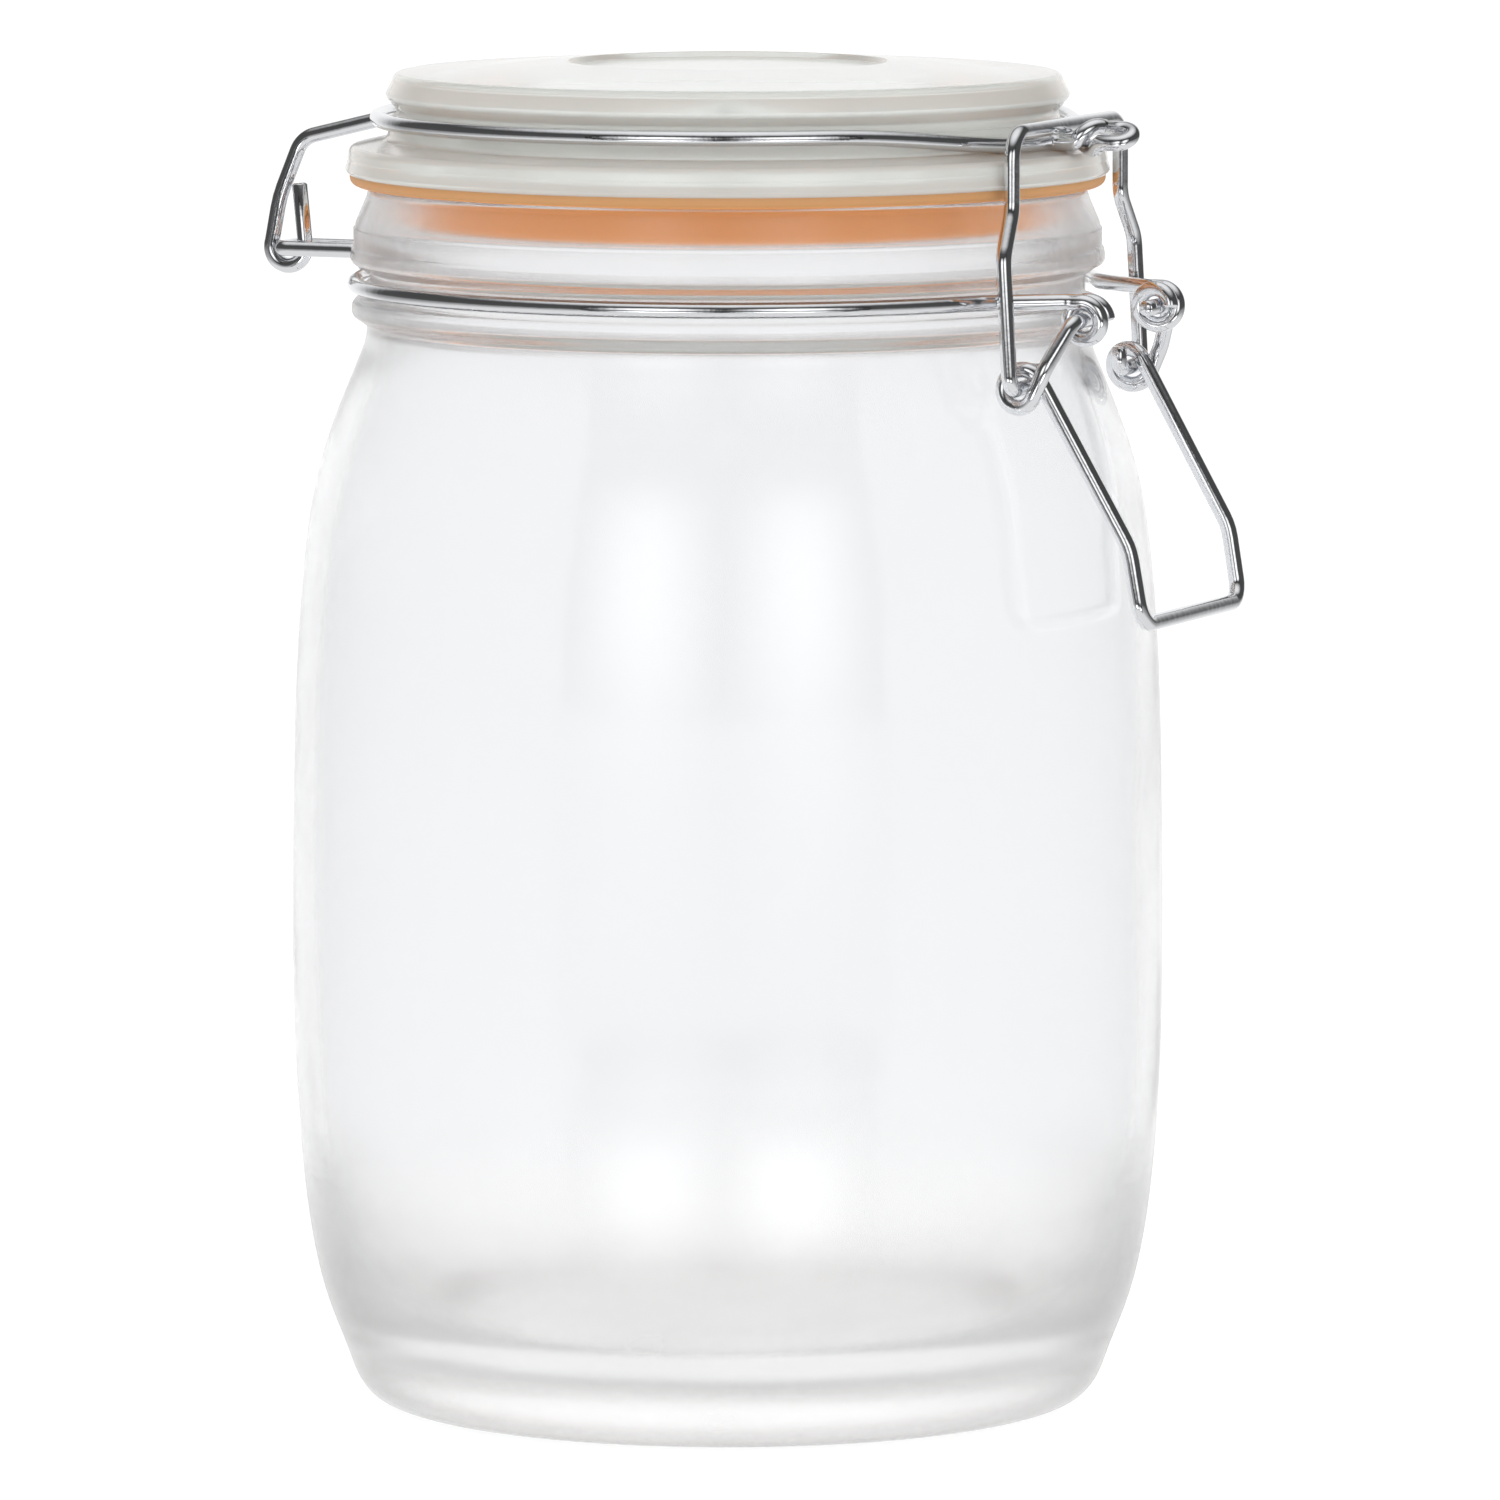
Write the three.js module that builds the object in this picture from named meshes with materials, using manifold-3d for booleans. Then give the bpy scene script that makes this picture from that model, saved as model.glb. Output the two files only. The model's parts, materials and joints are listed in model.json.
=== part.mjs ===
// Clip-top glass storage jar: a glass jar and lid, a rubber gasket, and four bent wires that make the rear
// hinge and the front toggle clasp. The wires are the lid wire, the neck wire, the bail and the lever.
// Millimetres, +Z up. The origin is on the jar's axis in the base plane. +X points at the clasp and -X at
// the hinge. Points of a section are [radius, z]; corners of a wire are [x, y, z, bend radius].

import * as THREE from 'three';
import { mergeVertices } from 'three/addons/utils/BufferGeometryUtils.js';
import Module from 'manifold-3d';

const wasm = await Module();
wasm.setup();

// Driving dimensions of the glass
const BODY_RADIUS = 55;
const SEAT_INNER_RADIUS = 38;
const SEAT_OUTER_RADIUS = 44.8;
const PUSH_UP = 1.5;
const FLOOR_TOP = 7;
const FLOOR_RADIUS = 34;
const NECK_Z = 134.4;
const NECK_RADIUS = 45.7;
const GROOVE_RADIUS = 45.4;
const BEAD_RADIUS = 1.8;
const BEAD_OUTER_RADIUS = 48.2;
const LOWER_BEAD_Z = 137.9;
const UPPER_BEAD_Z = 144.9;
const NECK_TOP_Z = 148.3;
const RIM_RADIUS = 46.2;
const RIM_ROUNDING = 0.9;
const RIM_Z = 153.8;
const MOUTH_RADIUS = 40.5;
const LID_TOP_Z = 169;
const LID_TOP_RADIUS = 43.3;
const LID_WAIST_RADIUS = 40.9;
const LID_SHOULDER_RADIUS = 42.6;
const LID_FLANGE_RADIUS = 48;
const LID_FLANGE_TOP = 159;
const LID_FLANGE_BOTTOM = 155.4;
const PLUG_RADIUS = 38.2;
const PLUG_BOTTOM = 148.2;
const LID_CEILING = 161.2;
const LID_TOP_ROUNDING = 1.5;
const LID_DISH_RADIUS = 21;
const LID_DISH_DEPTH = 0.7;

// Sections of the jar's wall between heel and neck, outside and inside
const JAR_OUTSIDE = [
  [45.7, 1.5], [48.8, 7.4], [51.7, 15.8], [54.1, 31], [BODY_RADIUS, 62.8], [54.5, 103.5], [51.4, 118.8],
  [48.6, 126.4], [NECK_RADIUS, NECK_Z],
];
const JAR_INSIDE = [
  [MOUTH_RADIUS, 145], [42.4, 133.5], [48.3, 118], [51.4, 103], [51.9, 62], [51, 30], [48.2, 15.5], [41, 8.4],
];

// Driving dimensions of the gasket: a flat ring between rim and lid, with a thin skirt round the lid's plug
const GAP = 0.3;
const GASKET_INNER_RADIUS = PLUG_RADIUS + GAP;
const GASKET_OUTER_RADIUS = 47.1;
const SKIRT_OUTER_RADIUS = 39.4;
const SKIRT_BOTTOM = 149.1;

// Driving dimensions of the wires
const WIRE_RADIUS = 1;
const COIL_RADIUS = 2 * WIRE_RADIUS + GAP;
const NECK_WIRE_RADIUS = 46.9;
const NECK_WIRE_Z = 141.3;
const LID_WIRE_RADIUS = 44;
const LID_WIRE_Z = 162.1;
const NOSE_Z = 160.3;
const NOSE_TIP_X = 54.6;
const NOSE_ROOT_ANGLE = 6;
const HINGE = { x: -61.2, z: 144 };
const HINGE_STRAND_Y = 2.75;
const HOOK_RADIUS = 2.4;
const HOOK_END_TURN = -200;
const HOOK_TAIL = [-59.6, 0, 152.2];
const ARM_FOOT = [-62.4, 0, 150.4, 14];
const ARM_ELBOW = [-59.2, 0, 158, 3.5];
const ARM_TOP = [-48, 0, 160.7, 8];
const EYE = { x: 53.4, z: NECK_WIRE_Z - COIL_RADIUS };
const KNUCKLE = { x: 47.3, z: 130.8 };
const BAIL_X = 45.95;
const BAIL_TOP_Z = NOSE_Z + 2 * WIRE_RADIUS + 0.25;
const BAIL_TOP_Y = 18;
const BAIL_LEG_Y = 21.8;
const BAIL_SHOULDER_Z = 147;
const BAIL_WAIST_Z = 152.5;
const BAIL_TIP_RISE = 2.8;
const HANDLE_Y = 16.6;
const HANDLE_KINK = { x: 61.2, z: 111.3 };
const HANDLE_END = { x: 62.8, z: 102 };

// Fineness of the round shapes
const LATHE_SEGMENTS = 40;
const WIRE_SIDES = 6;
const RING_STEP = THREE.MathUtils.degToRad(7.5);
const BEND_STEP = THREE.MathUtils.degToRad(30);
const TWIST_STEPS = 6;
const OUTSIDE_STEPS = 14;
const INSIDE_STEPS = 12;

const glassMaterial = () => {
  const surface = { color: 0xe4eeeb, roughness: 0.05, metalness: 0, transparent: true, opacity: 0.4 };
  return new THREE.MeshStandardMaterial(surface);
};
const rubberMaterial = () => new THREE.MeshStandardMaterial({ color: 0xd98a4e, roughness: 0.7 });
const steelMaterial = () => new THREE.MeshStandardMaterial({ color: 0xc4c7ca, roughness: 0.2, metalness: 1 });

const degrees = THREE.MathUtils.degToRad;
const section = (radius, z) => new THREE.Vector2(radius, z);

// Points of an arc in the section plane, from one angle to another in degrees
function sectionArc(centreRadius, centreZ, radius, from, to, steps) {
  return Array.from({ length: steps + 1 }, (_, i) => {
    const angle = degrees(from + ((to - from) * i) / steps);
    return section(centreRadius + radius * Math.cos(angle), centreZ + radius * Math.sin(angle));
  });
}

// A smooth stretch of a section through a few points
function sectionCurve(points, steps) {
  return new THREE.SplineCurve(points.map(([radius, z]) => section(radius, z))).getPoints(steps);
}

// A body of revolution about the Z axis, from a section that runs counter-clockwise
function turned(points) {
  const geometry = new THREE.LatheGeometry(points, LATHE_SEGMENTS);
  geometry.rotateX(Math.PI / 2);
  return geometry;
}

function jarGeometry() {
  const seat = [
    section(0, PUSH_UP),
    section(SEAT_INNER_RADIUS - 2, PUSH_UP),
    section(SEAT_INNER_RADIUS, 0),
    section(SEAT_OUTER_RADIUS, 0),
  ];
  const side = sectionCurve(JAR_OUTSIDE, OUTSIDE_STEPS);
  const beadCentre = BEAD_OUTER_RADIUS - BEAD_RADIUS;
  const beads = [
    ...sectionArc(beadCentre, LOWER_BEAD_Z, BEAD_RADIUS, -90, 90, 4),
    section(GROOVE_RADIUS, LOWER_BEAD_Z + BEAD_RADIUS),
    section(GROOVE_RADIUS, UPPER_BEAD_Z - BEAD_RADIUS),
    ...sectionArc(beadCentre, UPPER_BEAD_Z, BEAD_RADIUS, -90, 60, 4),
  ];
  const rim = [
    section(RIM_RADIUS, NECK_TOP_Z),
    ...sectionArc(RIM_RADIUS - RIM_ROUNDING, RIM_Z - RIM_ROUNDING, RIM_ROUNDING, 0, 90, 2),
    ...sectionArc(MOUTH_RADIUS + RIM_ROUNDING, RIM_Z - RIM_ROUNDING, RIM_ROUNDING, 90, 180, 2),
  ];
  const inside = sectionCurve(JAR_INSIDE, INSIDE_STEPS);
  const floor = [section(FLOOR_RADIUS, FLOOR_TOP), section(0, FLOOR_TOP)];
  return turned([...seat, ...side, ...beads, ...rim, ...inside, ...floor]);
}

function lidGeometry() {
  const underside = [
    section(0, LID_CEILING),
    section(29.6, LID_CEILING - 0.5),
    section(31.4, LID_CEILING - 2.4),
    section(33.4, PLUG_BOTTOM + 1.4),
    section(34.8, PLUG_BOTTOM),
    section(36.6, PLUG_BOTTOM),
    section(PLUG_RADIUS - 0.5, PLUG_BOTTOM + 1.2),
    section(PLUG_RADIUS, LID_FLANGE_BOTTOM),
  ];
  const flange = [
    section(LID_FLANGE_RADIUS - 1.4, LID_FLANGE_BOTTOM),
    section(LID_FLANGE_RADIUS - 0.4, LID_FLANGE_BOTTOM + 0.7),
    section(LID_FLANGE_RADIUS, LID_FLANGE_BOTTOM + 1.9),
    section(LID_FLANGE_RADIUS - 0.5, LID_FLANGE_TOP - 0.4),
    section(LID_FLANGE_RADIUS - 1.5, LID_FLANGE_TOP),
  ];
  const edge = LID_TOP_ROUNDING;
  const top = [
    section(LID_SHOULDER_RADIUS + 0.8, LID_FLANGE_TOP),
    section(LID_SHOULDER_RADIUS, LID_FLANGE_TOP + 1),
    section(LID_SHOULDER_RADIUS, LID_WIRE_Z - 0.6),
    section(LID_WAIST_RADIUS, LID_WIRE_Z + 1.2),
    section(LID_WAIST_RADIUS + 0.5, LID_WIRE_Z + 2.1),
    ...sectionArc(LID_TOP_RADIUS - edge, LID_TOP_Z - edge, edge, -40, 90, 4),
    section(LID_DISH_RADIUS, LID_TOP_Z),
    section(LID_DISH_RADIUS - 1.2, LID_TOP_Z - LID_DISH_DEPTH),
    section(0, LID_TOP_Z - LID_DISH_DEPTH),
  ];
  return turned([...underside, ...flange, ...top]);
}

function gasketGeometry() {
  const bottom = RIM_Z + GAP;
  const top = LID_FLANGE_BOTTOM - GAP;
  const edge = (top - bottom) / 2;
  const middle = (top + bottom) / 2;
  const outline = [
    ...sectionArc(GASKET_OUTER_RADIUS - edge, middle, edge, -90, 90, 4),
    section(GASKET_INNER_RADIUS, top),
    section(GASKET_INNER_RADIUS, SKIRT_BOTTOM),
    section(SKIRT_OUTER_RADIUS, SKIRT_BOTTOM),
    section(SKIRT_OUTER_RADIUS, bottom),
  ];
  return turned([...outline, outline[0].clone()]);
}

// A wire's centre line that passes through each of its points, so that a swept section is set at every one
class WireLine extends THREE.Curve {
  constructor(points) {
    super();
    this.points = points;
  }

  index(u) {
    return Math.round(u * (this.points.length - 1));
  }

  getPointAt(u, target = new THREE.Vector3()) {
    return target.copy(this.points[this.index(u)]);
  }

  getTangentAt(u, target = new THREE.Vector3()) {
    const at = this.index(u);
    const here = this.points[at];
    const before = this.points[at - 1];
    const after = this.points[at + 1];
    target.set(0, 0, 0);
    if (before) target.add(here.clone().sub(before).normalize());
    if (after) target.add(after.clone().sub(here).normalize());
    return target.normalize();
  }
}

// A round wire swept along a list of points
function wire(points) {
  const round = new THREE.Shape(
    Array.from({ length: WIRE_SIDES }, (_, i) => {
      const angle = (2 * Math.PI * i) / WIRE_SIDES;
      return new THREE.Vector2(WIRE_RADIUS * Math.cos(angle), WIRE_RADIUS * Math.sin(angle));
    }),
  );
  return new THREE.ExtrudeGeometry(round, {
    steps: points.length - 1,
    extrudePath: new WireLine(points),
    bevelEnabled: false,
  });
}

// Bends a wire at its corners. A corner is [x, y, z, bend radius]; without a radius it stays a plain point.
function bent(corners) {
  return corners.flatMap(([x, y, z, radius], i) => {
    const corner = new THREE.Vector3(x, y, z);
    if (!radius) return [corner];
    const arriving = corner.clone().sub(new THREE.Vector3(...corners[i - 1].slice(0, 3))).normalize();
    const leaving = new THREE.Vector3(...corners[i + 1].slice(0, 3)).sub(corner).normalize();
    const turn = arriving.angleTo(leaving);
    const start = corner.clone().addScaledVector(arriving, -radius * Math.tan(turn / 2));
    const inward = leaving.clone().sub(arriving).normalize();
    const centre = corner.clone().addScaledVector(inward, radius / Math.cos(turn / 2));
    const axis = arriving.clone().cross(leaving).normalize();
    const steps = Math.max(1, Math.ceil(turn / BEND_STEP));
    return Array.from({ length: steps + 1 }, (_, k) =>
      start.clone().sub(centre).applyAxisAngle(axis, (turn * k) / steps).add(centre),
    );
  });
}

// A coil about an axis along Y, from one angle to another in degrees, moving from one y to another
function coil(centre, radius, from, to, fromY, toY) {
  const steps = Math.ceil(Math.abs(degrees(to - from)) / BEND_STEP);
  return Array.from({ length: steps + 1 }, (_, i) => {
    const share = i / steps;
    const angle = degrees(from + (to - from) * share);
    const y = fromY + (toY - fromY) * share;
    return new THREE.Vector3(centre.x + radius * Math.cos(angle), y, centre.z + radius * Math.sin(angle));
  });
}

// A stretch of a level ring, from one angle to another in degrees, with its height given by the angle
function ring(radius, from, to, height) {
  const steps = Math.ceil(Math.abs(degrees(to - from)) / RING_STEP);
  return Array.from({ length: steps + 1 }, (_, i) => {
    const turn = from + ((to - from) * i) / steps;
    const angle = degrees(turn);
    return new THREE.Vector3(radius * Math.cos(angle), radius * Math.sin(angle), height(turn));
  });
}

const asCorners = (points) => points.map((p) => [p.x, p.y, p.z]);

// The whole of a wire that is the same on both sides of the XZ plane, from its half on the +Y side
function bothSides(half) {
  const other = half.map((p) => new THREE.Vector3(p.x, -p.y, p.z)).reverse();
  return [...half, ...other];
}

// Where a line from a point, drawn to a circle of the coil radius, touches it: the angle in degrees
function touchAngle(centre, point, side) {
  const dx = point.x - centre.x;
  const dz = point.z - centre.z;
  const towards = Math.atan2(dz, dx);
  const spread = Math.acos(COIL_RADIUS / Math.hypot(dx, dz));
  return THREE.MathUtils.radToDeg(towards + side * spread);
}

// The neck wire lies in the groove. It ends in an eye on each side of the clasp, and a loop at the rear
// carries the bar that the lid's hook turns on.
function neckWireGeometry() {
  const eyeY = 13.5;
  const turns = 1.25;
  const eye = coil(EYE, COIL_RADIUS, 90 - 360 * turns, 90, eyeY - COIL_RADIUS * turns, eyeY);
  const half = bent([
    ...asCorners(eye),
    [EYE.x - 1.9, eyeY, NECK_WIRE_Z, 3],
    [42.5, 19.8, NECK_WIRE_Z, 5],
    ...asCorners(ring(NECK_WIRE_RADIUS, 31, 171, () => NECK_WIRE_Z)),
    [-48.4, HINGE_STRAND_Y, NECK_WIRE_Z, 1.2],
    [-50.2, HINGE_STRAND_Y, HINGE.z, 1.6],
    [HINGE.x, HINGE_STRAND_Y, HINGE.z, 1.3],
    [HINGE.x, 0, HINGE.z],
  ]);
  half.pop();
  return wire(bothSides(half));
}

// Height of the lid wire round the lid: it dips at the front, where it turns out into the nose
function lidWireHeight(turn) {
  const away = Math.abs(THREE.MathUtils.euclideanModulo(turn + 180, 360) - 180);
  return THREE.MathUtils.lerp(NOSE_Z, LID_WIRE_Z, THREE.MathUtils.smoothstep(away, 8, 50));
}

// The lid wire clamps the lid's waist. At the rear it runs down to a hook round the hinge bar, and both ends
// of the ring are welded together there.
function lidWireGeometry() {
  const hook = coil(HINGE, HOOK_RADIUS, 2, HOOK_END_TURN, 0, 0);
  const arm = bent([
    HOOK_TAIL,
    ...asCorners(hook),
    ARM_FOOT,
    ARM_ELBOW,
    ARM_TOP,
    [-LID_WIRE_RADIUS, 0, LID_WIRE_Z, 2.4],
    ...asCorners(ring(LID_WIRE_RADIUS, 174, NOSE_ROOT_ANGLE, lidWireHeight)),
  ]);
  const otherHalf = ring(LID_WIRE_RADIUS, -NOSE_ROOT_ANGLE, -185, lidWireHeight);
  return joined(wire(arm), wire(otherHalf));
}

// The nose is where the lid wire turns out at the front: two strands side by side under the bail, twisted
// round each other into a tilted thumb loop.
function noseGeometry() {
  const strandY = WIRE_RADIUS + GAP / 2;
  const twistStart = 47.2;
  const twistEnd = 50.8;
  const loopRadius = 1.6;
  const loopZ = NOSE_Z + 0.9;
  const twistTurn = degrees(-150);
  const gapAngle = THREE.MathUtils.radToDeg(GAP / LID_WIRE_RADIUS);
  const root = (side) => {
    const turn = degrees(side * (NOSE_ROOT_ANGLE - gapAngle));
    return [LID_WIRE_RADIUS * Math.cos(turn), LID_WIRE_RADIUS * Math.sin(turn), NOSE_Z];
  };
  const twist = (side) =>
    Array.from({ length: TWIST_STEPS + 1 }, (_, i) => {
      const share = i / TWIST_STEPS;
      const spread = THREE.MathUtils.lerp(strandY, loopRadius, share);
      return [
        THREE.MathUtils.lerp(twistStart, twistEnd, share),
        side * spread * Math.cos(twistTurn * share),
        THREE.MathUtils.lerp(NOSE_Z, loopZ, share) + side * spread * Math.sin(twistTurn * share),
      ];
    });
  const strand = (side) => [root(side), [LID_WIRE_RADIUS, side * strandY, NOSE_Z, 1.2], ...twist(side)];
  const tip = [60, 30, 0, -30, -60].map((turn) => {
    const off = loopRadius * Math.sin(degrees(turn));
    return [
      NOSE_TIP_X - loopRadius + loopRadius * Math.cos(degrees(turn)),
      off * Math.cos(twistTurn),
      loopZ + off * Math.sin(twistTurn),
    ];
  });
  return wire(bent([...strand(1), ...tip, ...strand(-1).reverse()]));
}

// The bail hangs in the lever's two knuckles and its top bar presses on the nose
function bailGeometry() {
  const tipY = 14.4;
  const half = bent([
    [KNUCKLE.x, tipY, KNUCKLE.z + BAIL_TIP_RISE],
    [KNUCKLE.x, tipY, KNUCKLE.z, 1.3],
    [KNUCKLE.x, BAIL_LEG_Y, KNUCKLE.z, 1.8],
    [BAIL_X + 0.4, BAIL_LEG_Y, BAIL_SHOULDER_Z, 4],
    [BAIL_X, BAIL_TOP_Y, BAIL_WAIST_Z, 4],
    [BAIL_X, BAIL_TOP_Y, BAIL_TOP_Z, 3.3],
    [BAIL_X, 0, BAIL_TOP_Z],
  ]);
  half.pop();
  return wire(bothSides(half));
}

// The lever turns in the neck wire's eyes. Below them it is coiled into a knuckle on each side for the bail,
// and then runs down as the handle.
function leverGeometry() {
  const linkY = 19.5;
  const knuckleEndY = 17.2;
  const arrives = touchAngle(KNUCKLE, EYE, -1);
  const leaves = touchAngle(KNUCKLE, HANDLE_KINK, 1) - 360;
  const knuckle = coil(KNUCKLE, COIL_RADIUS, arrives, leaves, linkY, knuckleEndY);
  const linkBend = new THREE.Vector3(EYE.x, linkY, EYE.z).lerp(knuckle[0], 0.62);
  const half = bent([
    [EYE.x, 8, EYE.z],
    [EYE.x, 16.4, EYE.z, 2],
    [linkBend.x, linkBend.y, linkBend.z, 4],
    ...asCorners(knuckle),
    [HANDLE_KINK.x, HANDLE_Y + 0.2, HANDLE_KINK.z, 8],
    [HANDLE_END.x, HANDLE_Y, HANDLE_END.z, 3],
    [HANDLE_END.x, 0, HANDLE_END.z],
  ]);
  half.pop();
  return wire(bothSides(half));
}

// Joins two closed geometries into one
function joined(...geometries) {
  const solids = geometries.map((geometry) => {
    geometry.deleteAttribute('normal');
    geometry.deleteAttribute('uv');
    const merged = mergeVertices(geometry, 1e-4);
    return new wasm.Manifold(
      new wasm.Mesh({
        numProp: 3,
        vertProperties: merged.attributes.position.array,
        triVerts: Uint32Array.from(merged.index.array),
      }),
    );
  });
  const mesh = solids.reduce((whole, solid) => whole.add(solid)).getMesh();
  const geometry = new THREE.BufferGeometry();
  geometry.setAttribute('position', new THREE.BufferAttribute(mesh.vertProperties, 3));
  geometry.setIndex(new THREE.BufferAttribute(mesh.triVerts, 1));
  geometry.computeVertexNormals();
  return geometry;
}

const pieces = [
  ['jar', jarGeometry(), glassMaterial()],
  ['lid', lidGeometry(), glassMaterial()],
  ['gasket', gasketGeometry(), rubberMaterial()],
  ['lid_wire', lidWireGeometry(), steelMaterial()],
  ['lid_wire_nose', noseGeometry(), steelMaterial()],
  ['neck_wire', neckWireGeometry(), steelMaterial()],
  ['bail', bailGeometry(), steelMaterial()],
  ['lever', leverGeometry(), steelMaterial()],
];

const canister = new THREE.Group();
for (const [name, geometry, material] of pieces) {
  const mesh = new THREE.Mesh(geometry, material);
  mesh.name = name;
  canister.add(mesh);
}

export default canister;
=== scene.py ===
"""Clip-top glass canister: fine glass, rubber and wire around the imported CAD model.

The object's lengths are in millimetres and the studio's in metres.
"""

import json
import math

import bmesh
import bpy
import numpy as np
from mathutils import Matrix, Vector, noise


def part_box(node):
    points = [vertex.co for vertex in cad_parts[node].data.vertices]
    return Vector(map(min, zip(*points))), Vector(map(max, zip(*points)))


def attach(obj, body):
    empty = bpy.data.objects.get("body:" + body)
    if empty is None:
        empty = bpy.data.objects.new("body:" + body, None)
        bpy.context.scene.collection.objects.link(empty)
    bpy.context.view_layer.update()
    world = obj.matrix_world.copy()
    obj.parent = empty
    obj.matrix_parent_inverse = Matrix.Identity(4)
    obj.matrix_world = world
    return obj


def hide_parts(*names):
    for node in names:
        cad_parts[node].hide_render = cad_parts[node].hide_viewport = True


MM = 0.001

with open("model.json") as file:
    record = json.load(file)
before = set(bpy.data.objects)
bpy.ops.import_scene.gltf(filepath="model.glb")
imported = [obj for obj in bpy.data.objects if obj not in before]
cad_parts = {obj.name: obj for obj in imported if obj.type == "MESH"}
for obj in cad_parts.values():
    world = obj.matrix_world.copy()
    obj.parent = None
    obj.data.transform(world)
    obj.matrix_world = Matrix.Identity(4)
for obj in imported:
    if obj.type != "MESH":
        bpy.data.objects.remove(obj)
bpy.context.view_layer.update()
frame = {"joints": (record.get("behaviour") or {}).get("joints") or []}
joint_at = {joint["name"]: Vector(joint["pos_m"]) / MM for joint in frame["joints"]}
jar_low, jar_high = (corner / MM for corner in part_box("jar"))
lid_low, lid_high = (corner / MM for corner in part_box("lid"))

# The closed clasp squeezes rim, gasket and flange together, where the CAD leaves this gap.
SQUEEZE = 0.3

# Driving dimensions, from the boxes of the CAD nodes and from the joints.
BODY_RADIUS = jar_high.x
RIM_Z = jar_high.z + SQUEEZE
LID_FLANGE_RADIUS = lid_high.x
LID_TOP_Z = lid_high.z
PLUG_BOTTOM = lid_low.z
HINGE = joint_at["lid_hinge"]
EYE = joint_at["lever_pivot"]
KNUCKLE = joint_at["bail_pivot"]

# Jar.
RIM_RADIUS = 46.2
RIM_INNER_RADIUS = 40.0
UPPER_BEAD_RADIUS = 48.4
LOWER_BEAD_RADIUS = 47.7
GROOVE_RADIUS = 45.4
SHOULDER_TOP_RADIUS = 45.6
WALL_UNEVENNESS = 0.12
WALL_TOP_Z = 134
FLOOR_RADIUS = 30

# Lid and gasket.
FLANGE_BOTTOM = RIM_Z + 1.3
FLANGE_TOP = RIM_Z + 4.9
LID_TOP_RADIUS = 43.4
LID_WAIST_RADIUS = 42.2
LID_CEILING = 161.0
LID_DISH_DEPTH = 0.3
PLUG_RADIUS = 37.8
GASKET_RADIUS = 47.1
GASKET_INNER_RADIUS = 38.4
GASKET_SLACK = 0.03
SKIRT_RADIUS = 39.3
SKIRT_BOTTOM = 149.1

# Wires.
WIRE_RADIUS = 1.0
END_ROUNDING = 0.25
CLEARANCE = 0.3
COIL_RADIUS = 2 * WIRE_RADIUS + CLEARANCE
NECK_WIRE_RADIUS = 46.9
NECK_WIRE_Z = EYE.z + COIL_RADIUS
EYE_Y = 13.5
EYE_TURNS = 1.25
HINGE_STRAND_Y = 2.75
LID_WIRE_RADIUS = 44.0
LID_WIRE_Z = RIM_Z + 8.0
HOOK_RADIUS = 2.4
NOSE_Z = FLANGE_TOP + 1.1
NOSE_ROOT_ANGLE = 8
NOSE_DIP_ANGLE = 42
NOSE_STRAND_Y = WIRE_RADIUS + 0.02
NOSE_TWIST = math.radians(-150)
NOSE_TWIST_START = 47.4
NOSE_TWIST_END = 50.8
NOSE_LOOP_RADIUS = 1.6
NOSE_LOOP_Z = NOSE_Z + 0.9
NOSE_TIP_X = 54.6
BAIL_TIP_Y = 14.4
BAIL_TIP_LENGTH = 2.8
BAIL_LEG_Y = 21.8
BAIL_TOP_X = 45.95
BAIL_TOP_Y = 18.0
BAIL_TOP_Z = NOSE_Z + 2 * WIRE_RADIUS + 0.1
LEVER_PIN_END_Y = 8
LEVER_PIN_Y = 16.4
LINK_Y = 19.5
LINK_BEND_SHARE = 0.62
KNUCKLE_END_Y = 17.2
HANDLE_Y = 16.6
HANDLE_KINK = Vector((61.2, 0, 111.3))
HANDLE_END = Vector((62.8, 0, 102))

# Fineness of the meshes.
SECTION_STEPS = 8
LATHE_SEGMENTS = 288
WIRE_SIDES = 20
BEND_STEP = math.radians(7)
RING_STEP = math.radians(2)
TWIST_STEPS = 12
LOOP_STEPS = 18
ON_AXIS = 1e-6
SAME_PLACE = 1e-4

# Materials. The foot of the jar is clear up to one height and has the wall's tint from another; the foot's
# paler tint is painted light, for light that crosses the thick foot many times.
GLASS_IOR = 1.52
FOOT_CLEAR_TO = 15
WALL_TINT_FROM = 40
FOOT_CLARITY = 1.0
FOOT_TINT = (0.99, 0.99, 0.99)
MOULDED_HAZE = 2.5
MOULDED_FADE = 10
# The skirt's orange is painted brighter than the lip's: painted light for the dim light inside the glass
# neck.
SKIRT_ORANGE_PAINTED_LIGHT, SKIRT_ORANGE_PALE_PAINTED_LIGHT = (0.93, 0.35, 0.085), (0.97, 0.39, 0.1)
LIP_ORANGE, LIP_ORANGE_PALE = (0.56, 0.28, 0.11), (0.64, 0.33, 0.13)
# The skirt's glow is painted light, for light that reaches it through the lid.
SKIRT_PAINTED_GLOW = 0.3
STEEL, STEEL_PALE = (0.75, 0.76, 0.78), (0.85, 0.86, 0.88)

# Studio, in metres and degrees. A stop is how far up a direction points, and a grey.
VIEW_AZIMUTH = math.radians(23.5)
VIEW_DISTANCE = 1.577
VIEW_HEIGHT = 0.26
AIM_HEIGHT = 0.082
AIM_RIGHT = 0.0028
LENS = 301.3
FILM_WIDTH = 36
FLOOR_SIZE = 60
FLOOR_GAP = 0.0002
PAPER = 0.9
PAPER_GLOW = 1.2
FLOOR_GLOW_SHARE = 0.75
BACKDROP_RADIUS = 25
BACKDROP_GLOW = 1.15
BACKDROP_STOPS = [(0.0, 1.0), (0.35, 0.95), (0.9, 0.7)]
STUDIO_STOPS = [(-0.6, 0.85), (-0.2, 0.35), (0.0, 0.08), (0.6, 0.07), (1.0, 0.95)]
SWEEP_FULL = 15
SWEEP_EDGE = 50
SOFTBOX_DISTANCE = 1.5
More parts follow.
